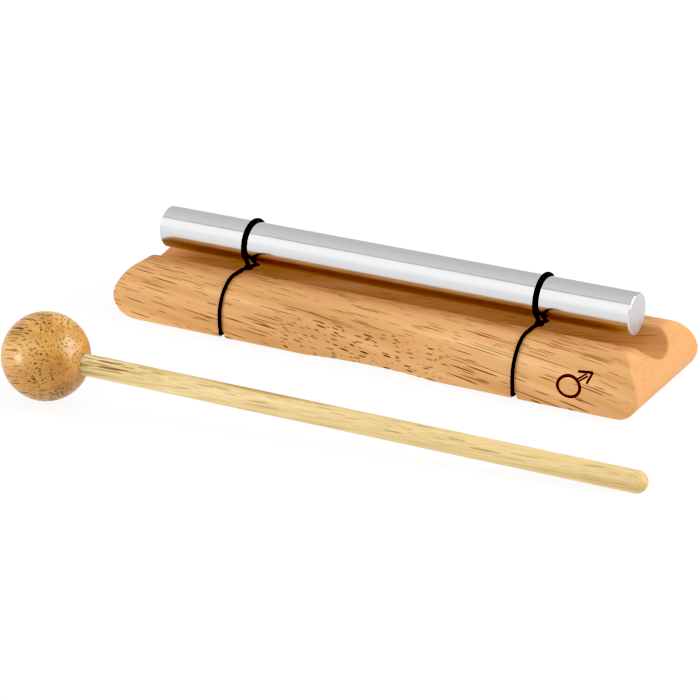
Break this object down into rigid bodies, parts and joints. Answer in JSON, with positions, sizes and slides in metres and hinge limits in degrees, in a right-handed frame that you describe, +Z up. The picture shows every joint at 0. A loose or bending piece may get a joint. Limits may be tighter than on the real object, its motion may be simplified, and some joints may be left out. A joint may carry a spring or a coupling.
{
  "type": "energy chime",
  "caption": "Tuned aluminium rod hung by elastic cords over a carved, grooved hardwood base, with a wooden ball mallet on a dowel to strike it.",
  "frame": {"origin": "middle of the base's underside, on the table that the chime and its mallet stand on", "axes": "+X along the base and the rod, to the right as seen from the front; +Y towards the back, away from the mallet; +Z up"},
  "size_m": [0.1923, 0.1203, 0.0309],
  "materials": {
    "base_wood": "oiled light brown hardwood with dark pores",
    "rod_aluminium": "polished",
    "cord_elastic": "black covered elastic",
    "ball_wood": "turned and waxed brown hardwood",
    "dowel_wood": "plain pale hardwood dowel"
  },
  "bodies": {
    "base": {"base": "base_wood"},
    "cords": {"left_cord": "cord_elastic", "right_cord": "cord_elastic"},
    "rod": {"chime_rod": "rod_aluminium"},
    "mallet": {"mallet_head": "ball_wood", "mallet_stick": "dowel_wood"}
  },
  "joints": [
    {"name": "rod_bounce", "type": "slide", "parent": "base", "child": "cords", "axis": [0, 0, 1], "range_m": [-0.0025, 0.0025], "stiffness_N_per_m": 600, "springref_m": 0.0009, "deforming": ["left_cord", "right_cord"]},
    {"name": "rod_roll", "type": "hinge", "parent": "cords", "child": "rod", "pos_m": [-0.0016, 0, 0.02335], "axis": [1, 0, 0], "continuous": true},
    {"name": "mallet_lift", "type": "slide", "parent": "base", "child": "mallet", "axis": [0, 0, 1], "range_m": [0, 0.12]}
  ]
}
